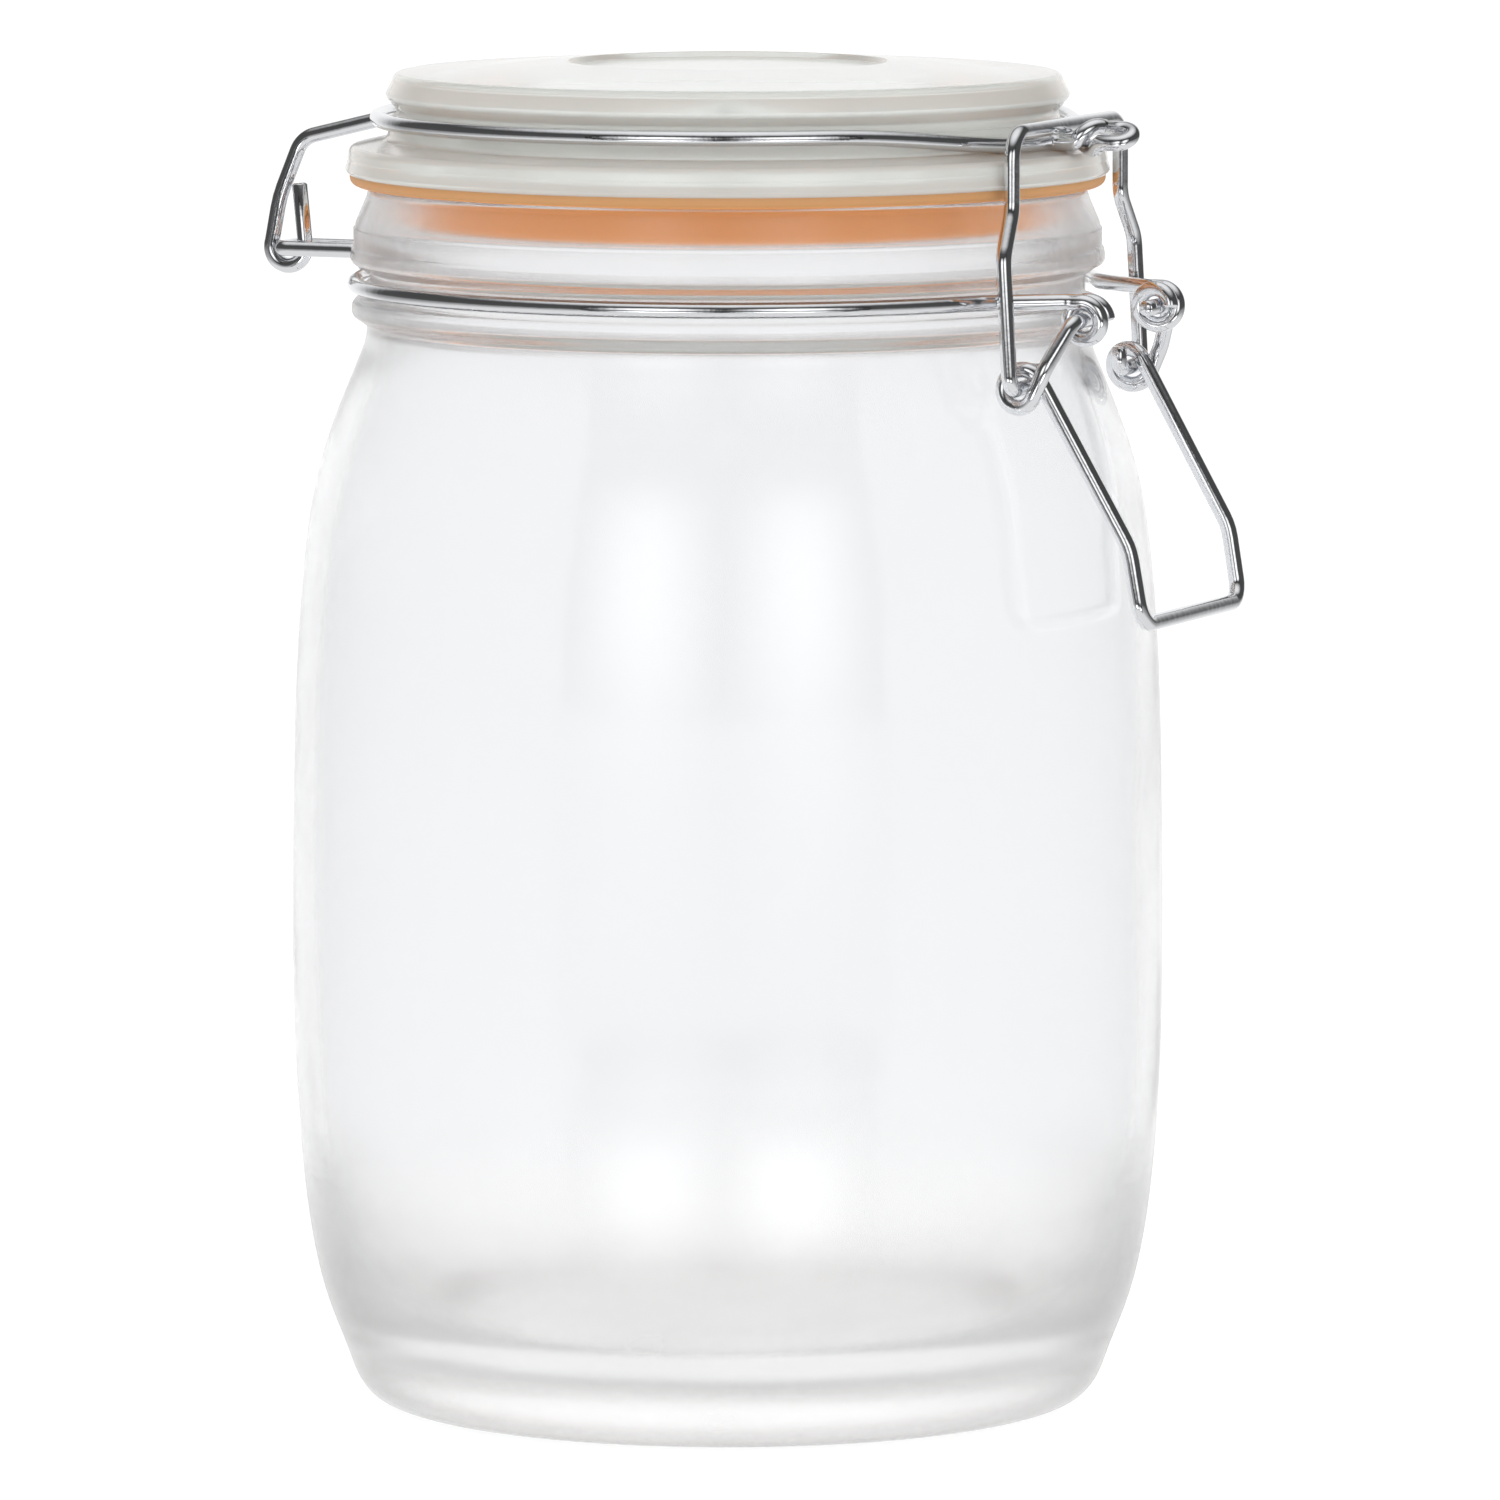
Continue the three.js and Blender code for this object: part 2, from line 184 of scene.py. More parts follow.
SOFTBOX_SIZE, SOFTBOX_Z, SOFTBOX_GLOW = (1.3, 1.3), 0.42, 1.7
LOW_SOFTBOX_SIZE, LOW_SOFTBOX_Z, LOW_SOFTBOX_GLOW = (1.2, 0.5), -0.5, 3.2
SOFTBOX_FADES = {"X": 0.5, "Y": 0.4}


# ---------------------------------------------------------------- sections of the turned pieces

def smooth_through(points):
    """A curve whose bend changes smoothly, a natural cubic spline, through a few (radius, z) points."""
    points = np.array(points, float)
    spans = np.linalg.norm(np.diff(points, axis=0), axis=1)
    slopes = np.diff(points, axis=0) / spans[:, None]
    count = len(points)
    system = np.eye(count)
    right = np.zeros((count, 2))
    for i in range(1, count - 1):
        system[i, i - 1 : i + 2] = spans[i - 1], 2 * (spans[i - 1] + spans[i]), spans[i]
        right[i] = 6 * (slopes[i] - slopes[i - 1])
    bend = np.linalg.solve(system, right)
    found = []
    for i, span in enumerate(spans):
        for t in np.arange(SECTION_STEPS) / SECTION_STEPS:
            u = 1 - t
            pull = span**2 / 6 * ((u**3 - u) * bend[i] + (t**3 - t) * bend[i + 1])
            found.append(tuple(u * points[i] + t * points[i + 1] + pull))
    return found + [tuple(points[-1])]


def filleted(corners):
    """Rounds the corners of an outline. A corner is (radius, z) or (radius, z, fillet)."""
    found = []
    for i, corner in enumerate(corners):
        here = Vector(corner[:2])
        if len(corner) == 2:
            found.append(tuple(here))
            continue
        fillet = corner[2]
        before = (Vector(corners[i - 1][:2]) - here).normalized()
        after = (Vector(corners[(i + 1) % len(corners)][:2]) - here).normalized()
        half = before.angle(after) / 2
        cut = fillet / math.tan(half)
        start, end = here + before * cut, here + after * cut
        middle = here + (before + after).normalized() * fillet / math.sin(half)
        first, last = start - middle, end - middle
        for k in range(SECTION_STEPS + 1):
            direction = first.slerp(last, k / SECTION_STEPS) if first.length else first
            found.append(tuple(middle + direction))
    return found


def wall_unevenness(radius, z):
    """How uneven the pressed wall is; the neck and the middle of the floor are true."""
    return 0.0 if z > WALL_TOP_Z or radius < FLOOR_RADIUS else WALL_UNEVENNESS


def swell(radius, z, angle):
    """A slight swell of the glass, the same at both ends of a full turn."""
    waves_round, waves_up, waves_through, noise_y = 1.6, 0.045, 0.11, 3.1
    on_jar = Vector((math.cos(angle) * waves_round, math.sin(angle) * waves_round, z * waves_up))
    return noise.noise(on_jar + Vector((radius * waves_through, noise_y, 0)))


def turned(name, outline, unevenness=None):
    """A closed body of revolution about Z from an outline that starts and ends on the axis or closes."""
    mesh = bmesh.new()
    rings = []
    for radius, z in outline:
        if radius < ON_AXIS:
            rings.append([mesh.verts.new((0, 0, z * MM))])
            continue
        size = unevenness(radius, z) if unevenness else 0.0
        row = []
        for s in range(LATHE_SEGMENTS):
            angle = 2 * math.pi * s / LATHE_SEGMENTS
            r = radius + size * swell(radius, z, angle)
            row.append(mesh.verts.new((r * MM * math.cos(angle), r * MM * math.sin(angle), z * MM)))
        rings.append(row)
    closed = len(rings[0]) > 1
    pairs = zip(rings, rings[1:] + (rings[:1] if closed else []))
    for low, high in pairs:
        for s in range(LATHE_SEGMENTS):
            n = (s + 1) % LATHE_SEGMENTS
            if len(low) == 1:
                mesh.faces.new((low[0], high[n], high[s]))
            elif len(high) == 1:
                mesh.faces.new((low[s], low[n], high[0]))
            else:
                mesh.faces.new((low[s], low[n], high[n], high[s]))
    return finished(name, mesh)


def finished(name, mesh):
    bmesh.ops.recalc_face_normals(mesh, faces=mesh.faces)
    for face in mesh.faces:
        face.smooth = True
    data = bpy.data.meshes.new(name)
    mesh.to_mesh(data)
    mesh.free()
    piece = bpy.data.objects.new(name, data)
    bpy.context.scene.collection.objects.link(piece)
    return piece


# ---------------------------------------------------------------- wires

def bent(corners):
    """Bends a wire at its corners. A corner is (x, y, z) or (x, y, z, bend radius)."""
    points = []
    for i, corner in enumerate(corners):
        here = Vector(corner[:3])
        if len(corner) == 3:
            points.append(here)
            continue
        bend = corner[3]
        arriving = (here - Vector(corners[i - 1][:3])).normalized()
        leaving = (Vector(corners[i + 1][:3]) - here).normalized()
        turn = arriving.angle(leaving)
        start = here - arriving * bend * math.tan(turn / 2)
        centre = here + (leaving - arriving).normalized() * bend / math.cos(turn / 2)
        axis = arriving.cross(leaving).normalized()
        steps = max(2, math.ceil(turn / BEND_STEP))
        for k in range(steps + 1):
            points.append(Matrix.Rotation(turn * k / steps, 3, axis) @ (start - centre) + centre)
    return points


def coil(centre, radius, start, end, start_y, end_y):
    """A coil about an axis along Y, between two angles in degrees, moving from one y to another."""
    steps = math.ceil(abs(math.radians(end - start)) / BEND_STEP)
    points = []
    for k in range(steps + 1):
        share = k / steps
        angle = math.radians(start + (end - start) * share)
        y = start_y + (end_y - start_y) * share
        points.append(Vector((centre.x + radius * math.cos(angle), y, centre.z + radius * math.sin(angle))))
    return points


def ring(radius, start, end, height):
    """A stretch of a ring about Z, between two angles in degrees, with its height given by the angle."""
    steps = math.ceil(abs(math.radians(end - start)) / RING_STEP)
    points = []
    for k in range(steps + 1):
        turn = start + (end - start) * k / steps
        angle = math.radians(turn)
        points.append(Vector((radius * math.cos(angle), radius * math.sin(angle), height(turn))))
    return points


def both_sides(half):
    """A wire that is the same on both sides of the XZ plane, from its half on the +Y side."""
    return half + [Vector((p.x, -p.y, p.z)) for p in reversed(half)]


def touch_angle(centre, point, side):
    """Where a line from a point, drawn to a circle of the coil radius, touches it, in degrees."""
    across, up = point.x - centre.x, point.z - centre.z
    spread = math.acos(COIL_RADIUS / math.hypot(across, up))
    return math.degrees(math.atan2(up, across) + side * spread)


def with_rounded_ends(route):
    """The stations of a wire, each a point and a radius, with its cut ends slightly rounded."""
    end_round = END_ROUNDING * WIRE_RADIUS
    ends = []
    for at, towards in ((0, 1), (-1, -2)):
        inward = (route[towards] - route[at]).normalized()
        face = (route[at], WIRE_RADIUS - end_round)
        edge = (route[at] + inward * end_round, WIRE_RADIUS)
        ends.append([face, edge])
    middle = [(point, WIRE_RADIUS) for point in route[1:-1]]
    return ends[0] + middle + ends[1][::-1]


def wire(name, points):
    """A round wire along a list of points."""
    route = [points[0]]
    for point in points[1:]:
        if (point - route[-1]).length > SAME_PLACE:
            route.append(point)
    stations = with_rounded_ends(route)
    mesh = bmesh.new()
    side = None
    rows = []
    for i, (middle, size) in enumerate(stations):
        before = stations[max(i - 1, 0)][0]
        after = stations[min(i + 1, len(stations) - 1)][0]
        along = (after - before).normalized()
        if side is None:
            side = along.orthogonal().normalized()
        side = (side - along * side.dot(along)).normalized()
        other = along.cross(side)
        row = []
        for s in range(WIRE_SIDES):
            angle = 2 * math.pi * s / WIRE_SIDES
            offset = side * math.cos(angle) + other * math.sin(angle)
            row.append(mesh.verts.new((middle + offset * size) * MM))
        rows.append(row)
    for low, high in zip(rows, rows[1:]):
        for s in range(WIRE_SIDES):
            n = (s + 1) % WIRE_SIDES
            mesh.faces.new((low[s], low[n], high[n], high[s]))
    mesh.faces.new(reversed(rows[0]))
    mesh.faces.new(rows[-1])
    return finished(name, mesh)


# ---------------------------------------------------------------- node helpers

def new_material(name):
    material = bpy.data.materials.new(name)
    material.use_nodes = True
    tree = material.node_tree
    return material, tree, tree.nodes["Principled BSDF"]


def feed(tree, source, socket):
    """Links a socket to another node's output, or gives it a number or a colour of three numbers."""
    if isinstance(source, bpy.types.NodeSocket):
        tree.links.new(source, socket)
    elif isinstance(source, tuple):
        socket.default_value = (*source, 1)
    else:
        socket.default_value = source


def noise_texture(tree, scale, detail=3.0):
    coordinates = tree.nodes.new("ShaderNodeTexCoord")
    texture = tree.nodes.new("ShaderNodeTexNoise")
    texture.inputs["Scale"].default_value = scale
    texture.inputs["Detail"].default_value = detail
    texture.inputs["Roughness"].default_value = 0.5
    tree.links.new(coordinates.outputs["Object"], texture.inputs["Vector"])
    return texture.outputs["Fac"]


def coordinate_parts(tree, coordinate):
    coordinates = tree.nodes.new("ShaderNodeTexCoord")
    parts = tree.nodes.new("ShaderNodeSeparateXYZ")
    tree.links.new(coordinates.outputs[coordinate], parts.inputs["Vector"])
    return parts.outputs


def ranged(tree, value, low, high, start=0, end=1, smooth=False):
    """Turns the span of a value from start to end into one from low to high."""
    mapping = tree.nodes.new("ShaderNodeMapRange")
    mapping.interpolation_type = "SMOOTHSTEP" if smooth else "LINEAR"
    mapping.inputs["From Min"].default_value = start
    mapping.inputs["From Max"].default_value = end
    mapping.inputs["To Min"].default_value = low
    mapping.inputs["To Max"].default_value = high
    tree.links.new(value, mapping.inputs["Value"])
    return mapping.outputs["Result"]


def calculated(tree, operation, *values):
    step = tree.nodes.new("ShaderNodeMath")
    step.operation = operation
    for value, socket in zip(values, step.inputs):
        feed(tree, value, socket)
    return step.outputs[0]


def mixed_colour(tree, factor, first, second):
    mix = tree.nodes.new("ShaderNodeMix")
    mix.data_type = "RGBA"
    feed(tree, first, mix.inputs["A"])
    feed(tree, second, mix.inputs["B"])
    tree.links.new(factor, mix.inputs["Factor"])
    return mix.outputs["Result"]


def bumped(tree, shader, height, distance):
    bump = tree.nodes.new("ShaderNodeBump")
    bump.inputs["Distance"].default_value = distance
    bump.inputs["Strength"].default_value = 1.0
    tree.links.new(height, bump.inputs["Height"])
    tree.links.new(bump.outputs["Normal"], shader.inputs["Normal"])


# ---------------------------------------------------------------- materials

def glass_material(name, clear, tinted, clarity, haze, ripple, middle_z, clear_reach):
    """Soda-lime glass: a slight tint, a faint ripple, and a haze that grows beyond a reach above and below.

    Light crosses the thick foot many times, so the tint fades out there to leave it as pale as the walls.
    """
    material, tree, shader = new_material(name)
    shader.inputs["IOR"].default_value = GLASS_IOR
    height = coordinate_parts(tree, "Object")["Z"]
    above_foot = ranged(tree, height, 0, 1, FOOT_CLEAR_TO * MM, WALL_TINT_FROM * MM, smooth=True)
    transmission = ranged(tree, above_foot, FOOT_CLARITY, clarity)
    tree.links.new(transmission, shader.inputs["Transmission Weight"])
    wall_tint = mixed_colour(tree, noise_texture(tree, 18), clear, tinted)
    # The foot's paler tint is painted light.
    tree.links.new(mixed_colour(tree, above_foot, FOOT_TINT, wall_tint), shader.inputs["Base Color"])
    reach = calculated(tree, "ABSOLUTE", calculated(tree, "SUBTRACT", height, middle_z * MM))
    moulded = ranged(tree, reach, 0, MOULDED_HAZE, clear_reach * MM, (clear_reach + MOULDED_FADE) * MM)
    uneven_haze = ranged(tree, noise_texture(tree, 60), haze / 2, haze)
    roughness = calculated(tree, "MULTIPLY_ADD", uneven_haze, moulded, uneven_haze)
    tree.links.new(roughness, shader.inputs["Roughness"])
    bumped(tree, shader, noise_texture(tree, 45, detail=1.5), ripple)
    return material


def rubber_material():
    """Natural rubber: matte orange with a fine grain and faint cloudiness, the skirt painted a brighter
    orange than the lip as painted light for the dim light inside the glass neck.

    Rubber passes some light, and a faint glow of the skirt stands in for what reaches it from the lid.
    """
    material, tree, shader = new_material("orange_rubber")
    height = coordinate_parts(tree, "Object")["Z"]
    on_lip = ranged(tree, height, 0, 1, (RIM_Z - 0.6) * MM, (RIM_Z - 0.1) * MM)
    cloudiness = noise_texture(tree, 90, detail=6)
    # Painted light: the skirt's orange is brighter than the lip's.
    skirt = mixed_colour(tree, cloudiness, SKIRT_ORANGE_PAINTED_LIGHT, SKIRT_ORANGE_PALE_PAINTED_LIGHT)
    lip = mixed_colour(tree, cloudiness, LIP_ORANGE, LIP_ORANGE_PALE)
    tree.links.new(mixed_colour(tree, on_lip, skirt, lip), shader.inputs["Base Color"])
    # A painted glow on the skirt, none on the lip.
    shader.inputs["Emission Color"].default_value = (*SKIRT_ORANGE_PAINTED_LIGHT, 1)
    tree.links.new(ranged(tree, on_lip, SKIRT_PAINTED_GLOW, 0), shader.inputs["Emission Strength"])
    tree.links.new(ranged(tree, noise_texture(tree, 400), 0.45, 0.65), shader.inputs["Roughness"])
    shader.inputs["Subsurface Weight"].default_value = 0.15
    shader.inputs["Subsurface Scale"].default_value = 0.002
    bumped(tree, shader, noise_texture(tree, 1500, detail=4), 0.00004)
    return material


def steel_material():
    """Bright plated spring wire, with faint drawing marks."""
    material, tree, shader = new_material("bright_wire")
    shader.inputs["Metallic"].default_value = 1.0
    colour = mixed_colour(tree, noise_texture(tree, 120, detail=4), STEEL, STEEL_PALE)
    tree.links.new(colour, shader.inputs["Base Color"])
    tree.links.new(ranged(tree, noise_texture(tree, 700), 0.05, 0.14), shader.inputs["Roughness"])
    bumped(tree, shader, noise_texture(tree, 900, detail=2), 0.00002)
    return material


# ---------------------------------------------------------------- the pieces

def place(piece, body, nodes, material):
    piece.data.materials.clear()
    piece.data.materials.append(material)
    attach(piece, body)
    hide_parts(*nodes)


def make_jar():
    """Up the outside from the foot, round the neck and the rim, and down the inside to the floor."""
    outside = smooth_through(
        [(0, 2.6), (20, 2.4), (34, 1.6), (38.5, 0.35), (41.5, 0), (44.6, 0.4), (46.8, 2.6), (48.2, 6),
         (50.5, 12), (52.6, 20), (54.1, 32), (BODY_RADIUS, 54), (BODY_RADIUS - 0.1, 76), (54.2, 97),
         (53.1, 109), (51.4, 118.4), (48.7, 126.4), (46.2, 132.6)]
    )
    neck = filleted(
        [(SHOULDER_TOP_RADIUS, 134.2), (SHOULDER_TOP_RADIUS, 136.2, 0.8), (LOWER_BEAD_RADIUS, 136.9, 1.4),
         (LOWER_BEAD_RADIUS, 139.8, 1.4), (GROOVE_RADIUS, 139.9, 0.6), (GROOVE_RADIUS, 142.7, 0.6),
         (UPPER_BEAD_RADIUS, 142.9, 1.9), (UPPER_BEAD_RADIUS, 146.2, 2.0), (RIM_RADIUS, 148.3, 1.6),
         (RIM_RADIUS, RIM_Z, 1.8), (RIM_INNER_RADIUS, RIM_Z, 0.8), (41.6, 147.5)]
    )
    inside = smooth_through(
        [(41.9, 146), (42.4, 138), (44.4, 129.8), (47.2, 121.5), (49.9, 111), (51.3, 99), (51.9, 78),
         (51.9, 54), (50.9, 32), (48.3, 19), (43.5, 11.6), (35, 8.6), (20, 7.6), (0, 7.4)]
    )
    return turned("jar_glass", outside + neck + inside, wall_unevenness)


def make_lid():
    """From the ceiling round the plug, the flange and the waist to the top, with its shallow dish."""
    outline = filleted(
        [(0, LID_CEILING), (28, LID_CEILING, 5), (33.4, PLUG_BOTTOM, 1.2), (PLUG_RADIUS, PLUG_BOTTOM, 1.4),
         (38.1, FLANGE_BOTTOM, 0.8), (47.6, FLANGE_BOTTOM, 0.6), (LID_FLANGE_RADIUS, 157.0, 1.2),
         (LID_FLANGE_RADIUS, FLANGE_TOP, 1.3), (42.4, FLANGE_TOP, 1.4), (LID_WAIST_RADIUS, 162.0, 1.2),
         (41.2, 163.1, 0.9), (LID_TOP_RADIUS, 164.4, 1.4), (LID_TOP_RADIUS, LID_TOP_Z, 2.2),
         (20.4, LID_TOP_Z, 0.8), (19.6, LID_TOP_Z - LID_DISH_DEPTH, 0.8), (0, LID_TOP_Z - LID_DISH_DEPTH)]
    )
    return turned("lid_glass", outline)


def make_gasket():
    """A flat lip between rim and flange, with a thin skirt that hangs in the mouth."""
    low, high = RIM_Z + GASKET_SLACK, FLANGE_BOTTOM - GASKET_SLACK
    edge = (high - low) / 2 - 0.05
    outline = filleted(
        [(GASKET_RADIUS, low, edge), (GASKET_RADIUS, high, edge), (GASKET_INNER_RADIUS, high, 0.3),
         (GASKET_INNER_RADIUS, SKIRT_BOTTOM, 0.3), (SKIRT_RADIUS, SKIRT_BOTTOM, 0.3),
         (SKIRT_RADIUS, low, 0.3)]
    )
    return turned("gasket_ring", outline)


def make_neck_wire():
    """Coiled eyes at the front, a ring in the groove, and the hinge bar at the rear."""
    eye_start_y = EYE_Y - COIL_RADIUS * EYE_TURNS
    half = bent(
        coil(EYE, COIL_RADIUS, 90 - 360 * EYE_TURNS, 90, eye_start_y, EYE_Y)
        + [(EYE.x - 1.9, EYE_Y, NECK_WIRE_Z, 3), (42.5, 19.8, NECK_WIRE_Z, 5)]
        + ring(NECK_WIRE_RADIUS, 31, 171, lambda turn: NECK_WIRE_Z)
        + [(-48.4, HINGE_STRAND_Y, NECK_WIRE_Z, 1.2), (-50.2, HINGE_STRAND_Y, HINGE.z, 1.6),
           (HINGE.x, HINGE_STRAND_Y, HINGE.z, 1.3), (HINGE.x, 0, HINGE.z)]
    )[:-1]
    return wire("neck_wire_bent", both_sides(half))


def lid_wire_height(turn):
    """The lid wire dips at the front, where it turns out into the nose."""
    away = abs((turn + 180) % 360 - 180)
    share = min(max((away - NOSE_ROOT_ANGLE) / NOSE_DIP_ANGLE, 0), 1)
    return NOSE_Z + (LID_WIRE_Z - NOSE_Z) * share * share * (3 - 2 * share)


def nose_strand(side):
    """One strand of the nose, from under the bail through its twist."""
    strand = [(LID_WIRE_RADIUS, side * NOSE_STRAND_Y, NOSE_Z, 1.2)]
    for k in range(TWIST_STEPS + 1):
        share = k / TWIST_STEPS
        spread = NOSE_STRAND_Y + (NOSE_LOOP_RADIUS - NOSE_STRAND_Y) * share
        angle = NOSE_TWIST * share
        x = NOSE_TWIST_START + (NOSE_TWIST_END - NOSE_TWIST_START) * share
        z = NOSE_Z + (NOSE_LOOP_Z - NOSE_Z) * share + side * spread * math.sin(angle)
        strand.append((x, side * spread * math.cos(angle), z))
    return strand


def nose_tip():
    """The half circle at the end of the nose, in the plane the twist leaves it in."""
    tip = []
    for k in range(1, LOOP_STEPS):
        turn = math.pi / 2 - math.pi * k / LOOP_STEPS
        off = NOSE_LOOP_RADIUS * math.sin(turn)
        x = NOSE_TIP_X - NOSE_LOOP_RADIUS + NOSE_LOOP_RADIUS * math.cos(turn)
        tip.append((x, off * math.cos(NOSE_TWIST), NOSE_LOOP_Z + off * math.sin(NOSE_TWIST)))
    return tip


def make_lid_wire():
    """A hook at the rear, an arm up to the waist, once round the waist, and the nose at the front."""
    hook = [(-59.6, 0, 152.2)] + coil(HINGE, HOOK_RADIUS, 2, -200, 0, 0)
    arm = [(-62.4, 0, 150.4, 14), (-59.2, 0, 158, 3.5), (-48, 0, 160.7, 8)]
    route = bent(
        hook
        + arm
        + [(-LID_WIRE_RADIUS, 0, LID_WIRE_Z, 2.4)]
        + ring(LID_WIRE_RADIUS, 174, 5, lid_wire_height)
        + nose_strand(1)
        + nose_tip()
        + nose_strand(-1)[::-1]
        + ring(LID_WIRE_RADIUS, -5, -183, lid_wire_height)
    )
    return wire("lid_wire_bent", route)


def make_bail():
    """Short tips in the knuckles, two legs that lean in, and the top bar on the nose."""
    half = bent(
        [(KNUCKLE.x, BAIL_TIP_Y, KNUCKLE.z + BAIL_TIP_LENGTH), (KNUCKLE.x, BAIL_TIP_Y, KNUCKLE.z, 1.3),
         (KNUCKLE.x, BAIL_LEG_Y, KNUCKLE.z, 1.8), (BAIL_TOP_X + 0.4, BAIL_LEG_Y, 147, 4),
         (BAIL_TOP_X, BAIL_TOP_Y, 152.5, 4), (BAIL_TOP_X, BAIL_TOP_Y, BAIL_TOP_Z, 3.3),
         (BAIL_TOP_X, 0, BAIL_TOP_Z)]
    )[:-1]
    return wire("bail_bent", both_sides(half))


def make_lever():
    """Pins in the eyes, links down to the coiled knuckles, and the handle below."""
    arrives = touch_angle(KNUCKLE, EYE, -1)
    leaves = touch_angle(KNUCKLE, HANDLE_KINK, 1) - 360
    knuckle = coil(KNUCKLE, COIL_RADIUS, arrives, leaves, LINK_Y, KNUCKLE_END_Y)
    link = Vector((EYE.x, LINK_Y, EYE.z)).lerp(knuckle[0], LINK_BEND_SHARE)
    half = bent(
        [(EYE.x, LEVER_PIN_END_Y, EYE.z), (EYE.x, LEVER_PIN_Y, EYE.z, 2), (*link, 4)]
        + knuckle
        + [(HANDLE_KINK.x, HANDLE_Y + 0.2, HANDLE_KINK.z, 8), (HANDLE_END.x, HANDLE_Y, HANDLE_END.z, 3),
           (HANDLE_END.x, 0, HANDLE_END.z)]
    )[:-1]
    return wire("lever_bent", both_sides(half))


# ---------------------------------------------------------------- studio

def around(azimuth, distance, height):
    """A place round the jar; azimuth 0 is in front, on the -Y side, and it grows towards +X."""
    return Vector((distance * math.sin(azimuth), -distance * math.cos(azimuth), height))


def make_floor():
    """White paper that is lit evenly: part of its brightness is a glow of its own."""
    bpy.ops.mesh.primitive_plane_add(size=FLOOR_SIZE, location=(0, 0, jar_low.z * MM - FLOOR_GAP))
    floor = bpy.context.object
    floor.name = "paper_floor"
    material, _, shader = new_material("white_paper")
    shader.inputs["Roughness"].default_value = 1.0
    shader.inputs["Specular IOR Level"].default_value = 0.0
    level = PAPER * (1 - FLOOR_GLOW_SHARE)
    shader.inputs["Base Color"].default_value = (level, level, level, 1)
    shader.inputs["Emission Color"].default_value = (1, 1, 1, 1)
    shader.inputs["Emission Strength"].default_value = FLOOR_GLOW_SHARE * PAPER_GLOW
    floor.data.materials.append(material)
    floor.visible_glossy = False


def height_ramp(tree, coordinate, stops):
    """A grey that depends on how far up a direction points, from (height, grey) stops."""
    coordinates = tree.nodes.new("ShaderNodeTexCoord")
    normalise = tree.nodes.new("ShaderNodeVectorMath")
    normalise.operation = "NORMALIZE"
    tree.links.new(coordinates.outputs[coordinate], normalise.inputs[0])
    parts = tree.nodes.new("ShaderNodeSeparateXYZ")
    tree.links.new(normalise.outputs[0], parts.inputs["Vector"])
    ramp = tree.nodes.new("ShaderNodeValToRGB")
    ramp.color_ramp.interpolation = "EASE"
    tree.links.new(ranged(tree, parts.outputs["Z"], 0, 1, start=-1), ramp.inputs["Fac"])
    elements = ramp.color_ramp.elements
    while len(elements) < len(stops):
        elements.new(0.5)
    for element, (height, grey) in zip(elements, stops):
        element.position = (height + 1) / 2
        element.color = (grey, grey, grey, 1)
    return ramp.outputs["Color"]


def make_world():
    """The studio as it is mirrored in glass and wire: a white sweep behind the jar, the rest of it dim."""
    world = bpy.data.worlds.new("studio")
    bpy.context.scene.world = world
    world.use_nodes = True
    tree = world.node_tree
    coordinates = tree.nodes.new("ShaderNodeTexCoord")
    towards = tree.nodes.new("ShaderNodeVectorMath")
    towards.operation = "DOT_PRODUCT"
    towards.inputs[1].default_value = around(VIEW_AZIMUTH + math.pi, 1, 0)
    tree.links.new(coordinates.outputs["Generated"], towards.inputs[0])
    edge, full = math.cos(math.radians(SWEEP_EDGE)), math.cos(math.radians(SWEEP_FULL))
    sweep = ranged(tree, towards.outputs["Value"], 0, 1, edge, full, smooth=True)
    mirrored = mixed_colour(tree, sweep, height_ramp(tree, "Generated", STUDIO_STOPS), (1, 1, 1))
    tree.links.new(mirrored, tree.nodes["Background"].inputs["Color"])


def make_backdrop():
    """A white backdrop all round, which shows behind the glass and through it but isn't mirrored in it."""
    bpy.ops.mesh.primitive_uv_sphere_add(
        segments=64, ring_count=32, radius=BACKDROP_RADIUS, location=(0, 0, 0)
    )
    dome = bpy.context.object
    dome.name = "backdrop"
    material, tree, shader = new_material("backdrop_card")
    tree.nodes.remove(shader)
    glow = tree.nodes.new("ShaderNodeEmission")
    tree.links.new(height_ramp(tree, "Object", BACKDROP_STOPS), glow.inputs["Color"])
    glow.inputs["Strength"].default_value = BACKDROP_GLOW
    tree.links.new(glow.outputs["Emission"], tree.nodes["Material Output"].inputs["Surface"])
    dome.data.materials.append(material)
    dome.visible_glossy = False
    dome.visible_shadow = False


def make_softbox(name, turn, size, centre_z, glow):
    """An upright softbox beside the camera, which fades out towards its edges."""
    bpy.ops.mesh.primitive_plane_add(size=1)
    box = bpy.context.object
    box.name = name
    box.scale = (*size, 1)
    azimuth = VIEW_AZIMUTH + math.radians(turn)
    box.location = around(azimuth, SOFTBOX_DISTANCE, centre_z)
    box.rotation_euler = (math.pi / 2, 0, azimuth)
    material, tree, shader = new_material(name + "_diffuser")
    tree.nodes.remove(shader)
    light = tree.nodes.new("ShaderNodeEmission")
    parts = coordinate_parts(tree, "Generated")
    fades = []
    for axis, margin in SOFTBOX_FADES.items():
        off_middle = calculated(tree, "ABSOLUTE", calculated(tree, "SUBTRACT", parts[axis], 0.5))
        fades.append(ranged(tree, off_middle, 0, 1, 0.5, 0.5 - margin, smooth=True))
    both = calculated(tree, "MULTIPLY", *fades)
    tree.links.new(ranged(tree, both, 0, glow), light.inputs["Strength"])
    tree.links.new(light.outputs["Emission"], tree.nodes["Material Output"].inputs["Surface"])
    box.data.materials.append(material)
    box.visible_camera = False
    box.visible_diffuse = False
    box.visible_shadow = False


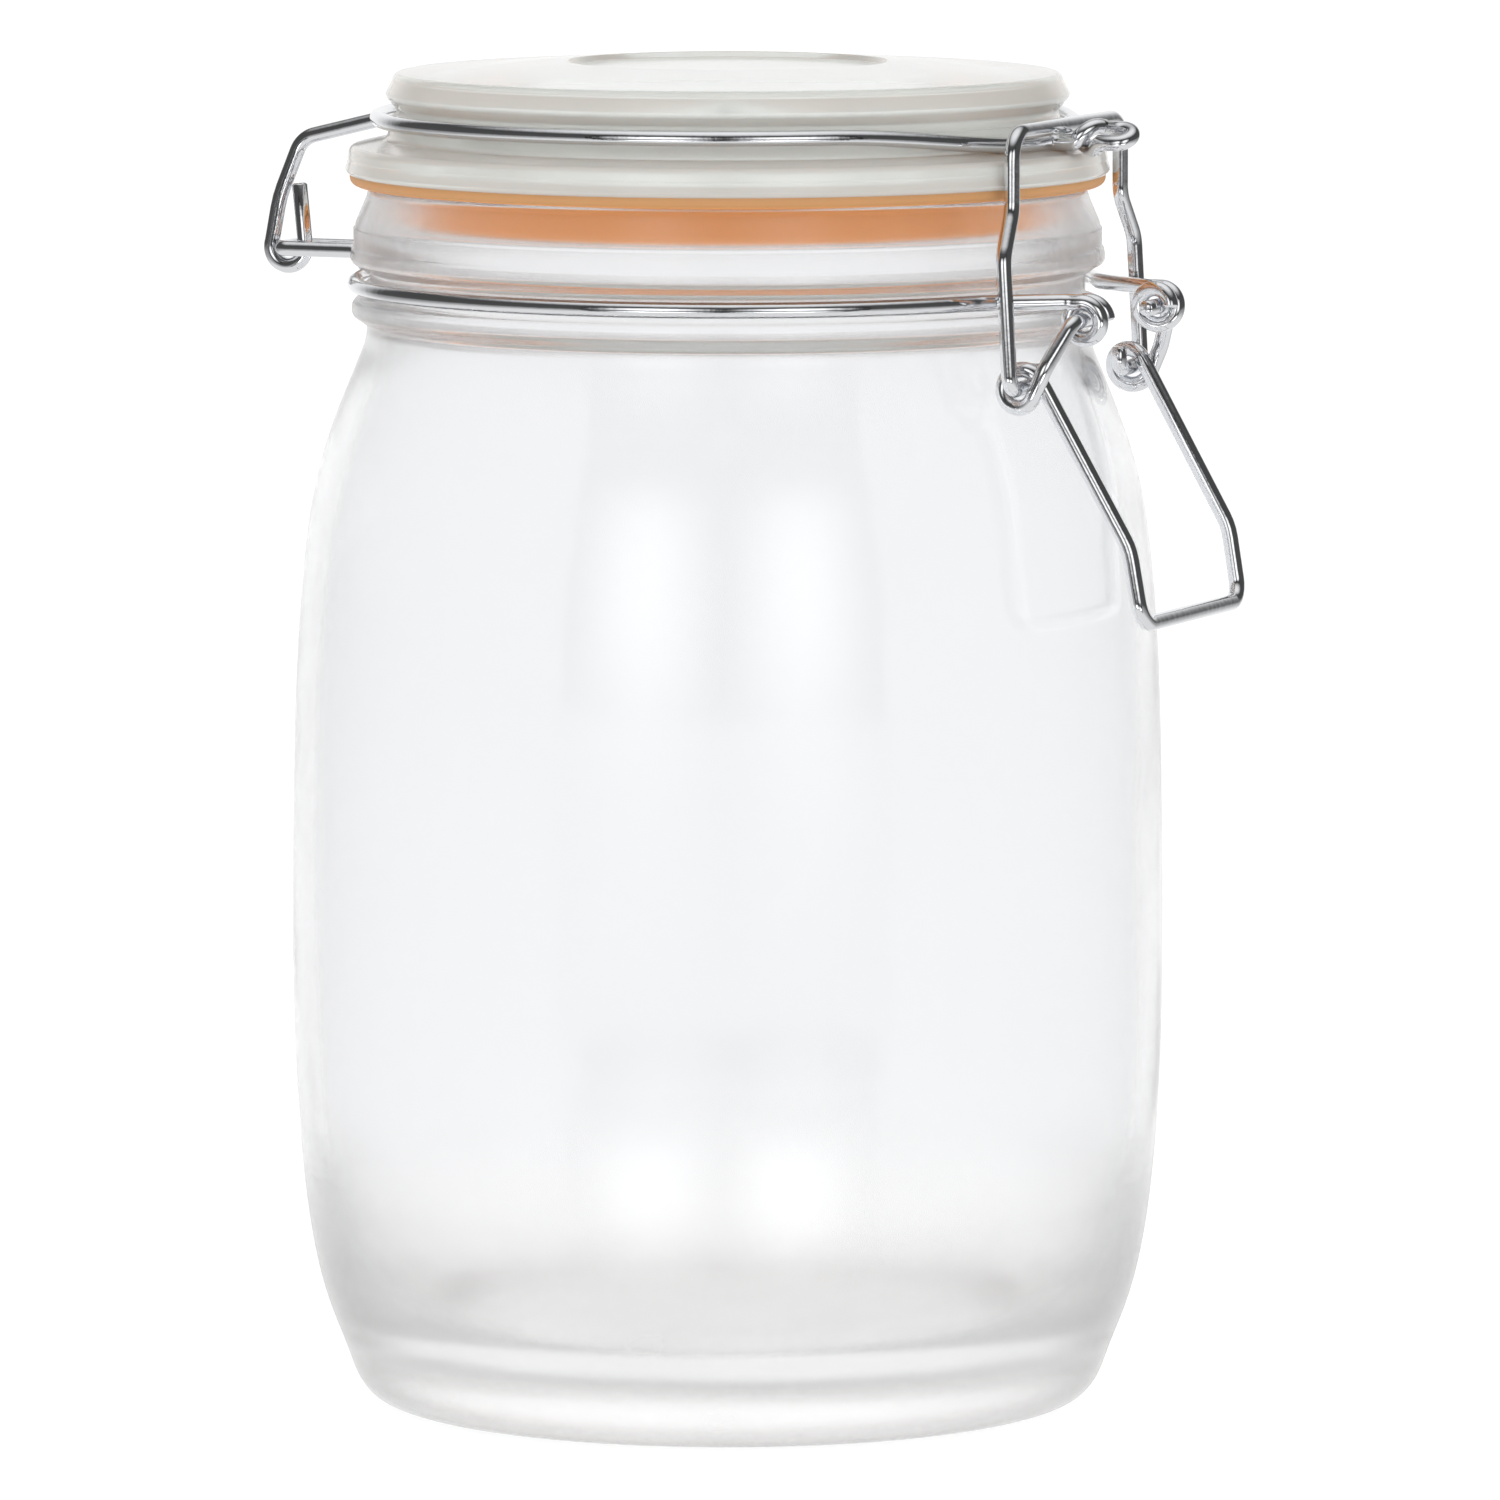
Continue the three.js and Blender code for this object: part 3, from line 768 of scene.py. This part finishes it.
def make_camera():
    camera = bpy.data.cameras.new("camera")
    camera.lens = LENS
    camera.sensor_width = FILM_WIDTH
    holder = bpy.data.objects.new("camera", camera)
    holder.location = around(VIEW_AZIMUTH, VIEW_DISTANCE, VIEW_HEIGHT)
    right = Vector((math.cos(VIEW_AZIMUTH), math.sin(VIEW_AZIMUTH), 0))
    aim = Vector((0, 0, AIM_HEIGHT)) + right * AIM_RIGHT
    holder.rotation_euler = (aim - holder.location).to_track_quat("-Z", "Y").to_euler()
    bpy.context.scene.collection.objects.link(holder)
    bpy.context.scene.camera = holder


# ---------------------------------------------------------------- the scene

body_glass = glass_material(
    "jar_clear_glass", (0.95, 0.952, 0.96), (0.938, 0.944, 0.95),
    clarity=0.97, haze=0.09, ripple=0.0001, middle_z=83, clear_reach=46,
)
lid_glass = glass_material(
    "lid_clear_glass", (0.97, 1.0, 0.975), (0.96, 0.99, 0.965),
    clarity=0.48, haze=0.16, ripple=0.00004, middle_z=160, clear_reach=20,
)
rubber = rubber_material()
steel = steel_material()

place(make_jar(), "jar_body", ["jar"], body_glass)
place(make_neck_wire(), "jar_body", ["neck_wire"], steel)
place(make_lid(), "lid_body", ["lid"], lid_glass)
place(make_gasket(), "lid_body", ["gasket"], rubber)
place(make_lid_wire(), "lid_body", ["lid_wire", "lid_wire_nose"], steel)
place(make_bail(), "bail_body", ["bail"], steel)
place(make_lever(), "lever_body", ["lever"], steel)

make_floor()
make_world()
make_backdrop()
make_softbox("softbox_left", -22, SOFTBOX_SIZE, SOFTBOX_Z, SOFTBOX_GLOW)
make_softbox("softbox_right", 20, SOFTBOX_SIZE, SOFTBOX_Z, SOFTBOX_GLOW)
make_softbox("low_softbox_left", -22, LOW_SOFTBOX_SIZE, LOW_SOFTBOX_Z, LOW_SOFTBOX_GLOW)
make_softbox("low_softbox_right", 18, LOW_SOFTBOX_SIZE, LOW_SOFTBOX_Z, LOW_SOFTBOX_GLOW)
make_camera()
scene = bpy.context.scene
scene.view_settings.view_transform = "Standard"
scene.cycles.max_bounces = 40
scene.cycles.glossy_bounces = 32
scene.cycles.transmission_bounces = 32
